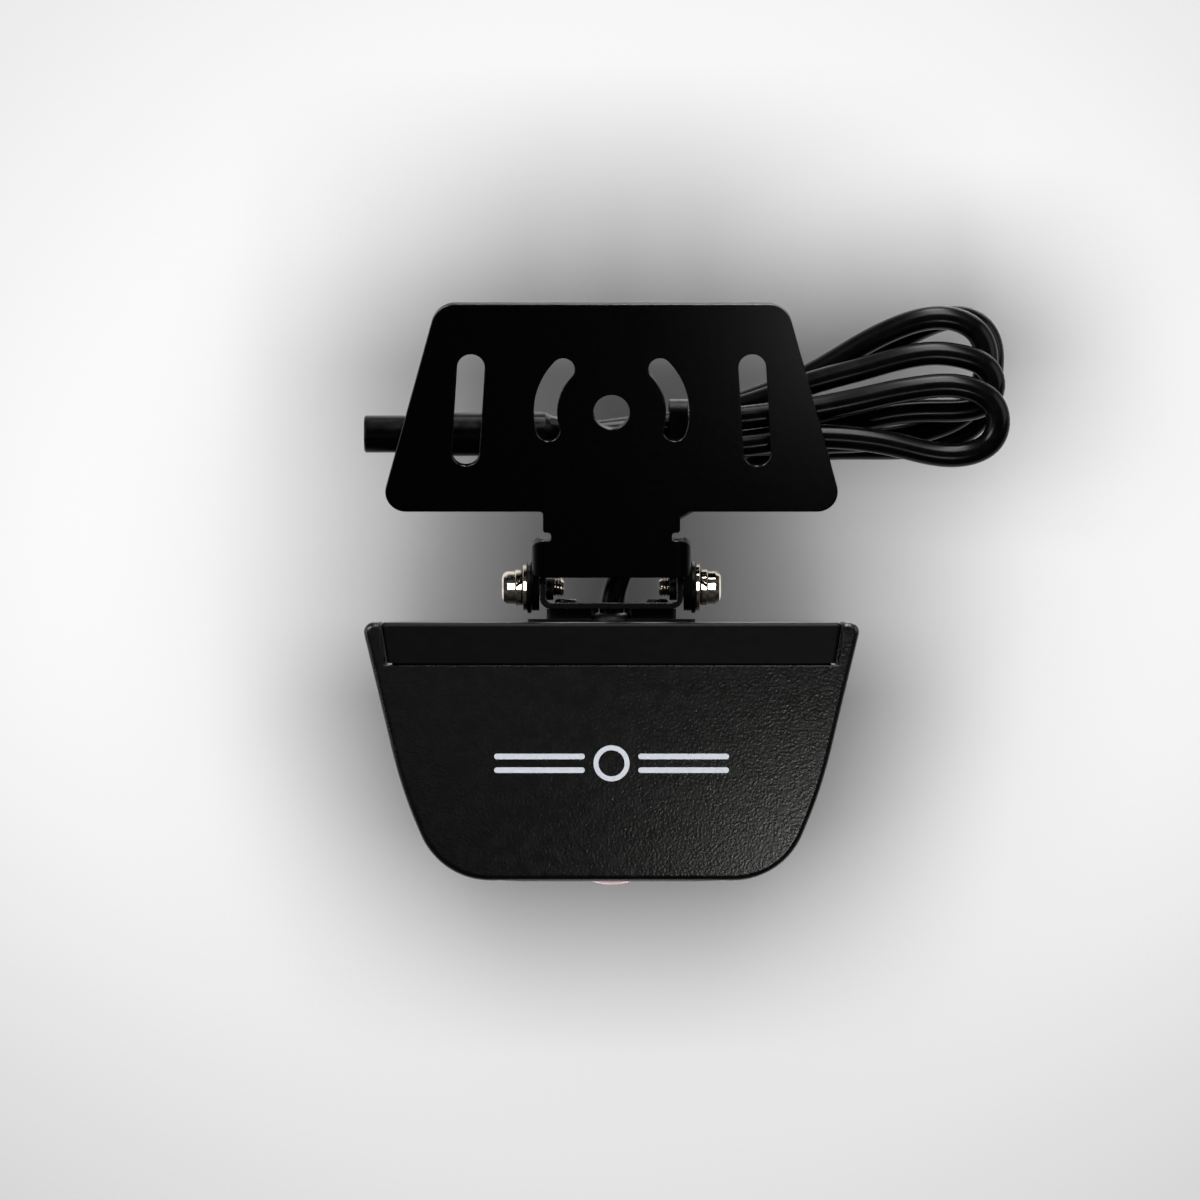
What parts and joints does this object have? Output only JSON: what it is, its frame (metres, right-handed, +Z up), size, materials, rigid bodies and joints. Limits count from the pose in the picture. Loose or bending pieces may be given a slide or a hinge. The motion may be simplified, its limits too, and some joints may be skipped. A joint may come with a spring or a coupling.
{
  "type": "backup camera",
  "caption": "Small vehicle backup camera: black tapered body with a lens, tilting on a slotted black mounting plate, with a coiled cable and plug.",
  "frame": {"origin": "centre of the mounting plate's round hole, on the plate's front face", "axes": "+Z up along the plate, +Y through the plate from its front face towards the cable, +X to the right seen from the front"},
  "size_m": [0.1042, 0.0472, 0.0985],
  "materials": {
    "bracket_black": "fine satin black powder coat",
    "hinge_black": "semi-gloss black coat with worn grey edges",
    "nickel": "bright warm nickel plate",
    "steel_screws": "plain plated steel",
    "black_nylon": "plain",
    "body_plastic": "fine grained black moulding",
    "cover_plastic": "smooth satin black moulding",
    "black_rubber": "plain",
    "panel_gloss": "polished black",
    "foam_adhesive": "foam tape",
    "mark_white": "printed white",
    "lens_glass": "pinkish anti-reflection coating",
    "filter_glass": "blue-green filter tint",
    "lens_black": "black anodised",
    "holder_black": "plain",
    "circuit_green": "solder mask",
    "chip_black": "plain",
    "brass": "plain",
    "white_nylon": "plain",
    "wire_red": "wire insulation",
    "cable_pvc": "satin black PVC sheath",
    "connector_black": "satin moulding"
  },
  "bodies": {
    "bracket": {"mounting_plate": "bracket_black", "cable_coil": "cable_pvc", "cable_tie": "black_nylon", "connector_shell": "connector_black", "connector_insert": "connector_black", "connector_contacts": "brass"},
    "camera": {"u_bracket": "hinge_black", "bracket_screws": "hinge_black", "pivot_screws": "nickel", "spring_washers": "nickel", "flat_washers": "nickel", "housing_screws": "steel_screws", "main_board_screws": "steel_screws", "sensor_board_screws": "steel_screws", "holder_screws": "steel_screws", "strain_relief_ring": "steel_screws", "friction_washers": "black_nylon", "front_housing": "body_plastic", "rear_cover": "cover_plastic", "rear_gasket": "black_rubber", "cable_grommet": "black_rubber", "lens_o_ring": "black_rubber", "front_panel": "panel_gloss", "panel_adhesive": "foam_adhesive", "face_mark": "mark_white", "lens_front_element": "lens_glass", "lens_inner_elements": "lens_glass", "ir_filter": "filter_glass", "lens_barrel": "lens_black", "lens_spacer": "lens_black", "lens_holder": "holder_black", "main_board": "circuit_green", "sensor_board": "circuit_green", "board_chips": "chip_black", "image_sensor": "chip_black", "board_standoffs": "brass", "board_header": "white_nylon", "wire_plug": "white_nylon", "inner_wires": "wire_red", "cable_lead": "cable_pvc"}
  },
  "joints": [
    {"name": "camera_tilt", "type": "hinge", "parent": "bracket", "child": "camera", "pos_m": [0, 0.0055, -0.0318], "axis": [1, 0, 0], "range_deg": [-68, 90], "deforming": ["cable_lead"]}
  ]
}
